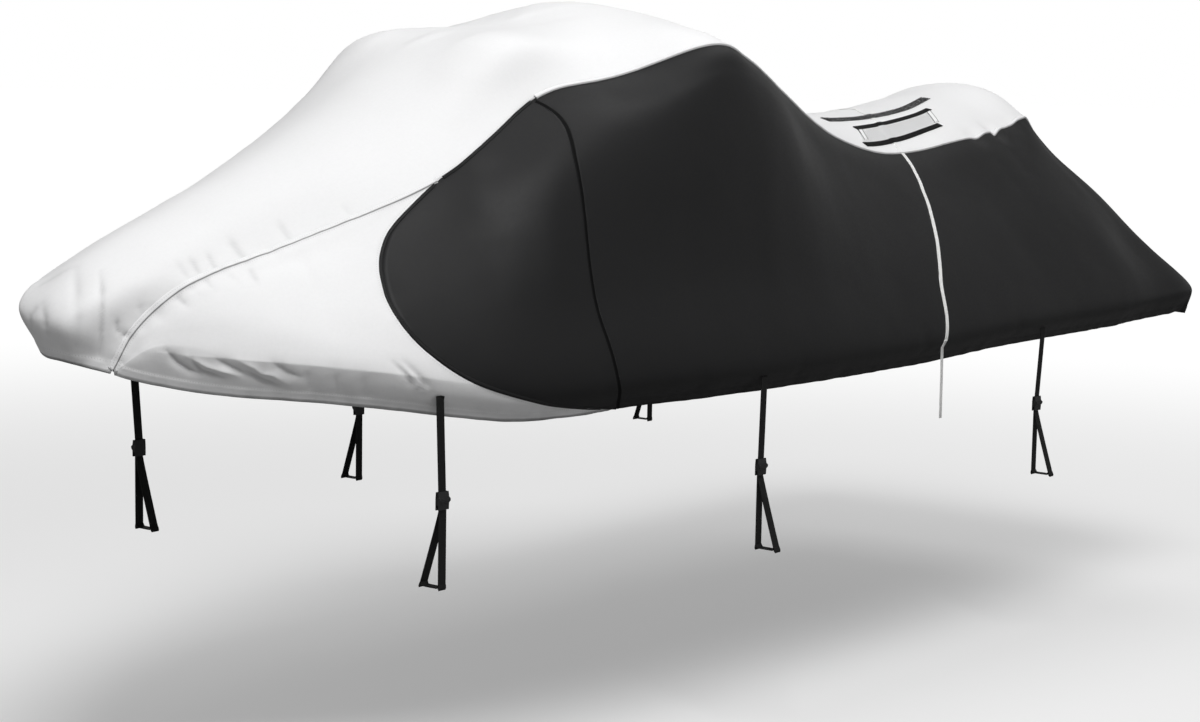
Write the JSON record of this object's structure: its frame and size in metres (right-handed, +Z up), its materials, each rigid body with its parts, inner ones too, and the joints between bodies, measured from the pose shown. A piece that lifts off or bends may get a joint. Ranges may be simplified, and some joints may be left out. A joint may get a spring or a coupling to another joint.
{
  "type": "personal watercraft cover",
  "caption": "Fitted cloth cover for a personal watercraft, with a light top, dark side panels, a seat vent, a belt over the seat and webbing ties with buckles.",
  "frame": {"origin": "on the underside of the cloth at the top of the handlebar hump, on the centre plane", "axes": "+X aft along the cover, +Y to starboard, +Z up"},
  "size_m": [3.4059, 1.26, 1.1109],
  "materials": {
    "white_cloth": "matt coated polyester, very light grey",
    "black_cloth": "matt coated polyester, near black",
    "black_webbing": "woven webbing",
    "white_webbing": "woven webbing",
    "vent_mesh": "fine knitted mesh",
    "binding_tape": "folded tape",
    "hook_strip": "hook strip with short stiff pile",
    "buckle_plastic": "moulded plastic"
  },
  "bodies": {
    "root": {"top_panel": "white_cloth", "bow_side_port": "white_cloth", "bow_side_starboard": "white_cloth", "side_front_port": "black_cloth", "side_front_starboard": "black_cloth", "side_rear_port": "black_cloth", "side_rear_starboard": "black_cloth", "belt": "white_webbing", "vent_binding_near": "binding_tape", "vent_binding_far": "binding_tape", "vent_mesh": "vent_mesh", "hook_strip": "hook_strip", "tie_front_port": "black_webbing", "buckle_front_port": "buckle_plastic", "loop_front_port": "black_webbing", "tie_front_starboard": "black_webbing", "buckle_front_starboard": "buckle_plastic", "loop_front_starboard": "black_webbing", "tie_middle_port": "black_webbing", "buckle_middle_port": "buckle_plastic", "loop_middle_port": "black_webbing", "tie_middle_starboard": "black_webbing", "buckle_middle_starboard": "buckle_plastic", "loop_middle_starboard": "black_webbing", "tie_rear_port": "black_webbing", "buckle_rear_port": "buckle_plastic", "loop_rear_port": "black_webbing", "tie_rear_starboard": "black_webbing", "buckle_rear_starboard": "buckle_plastic", "loop_rear_starboard": "black_webbing"}
  },
  "joints": []
}
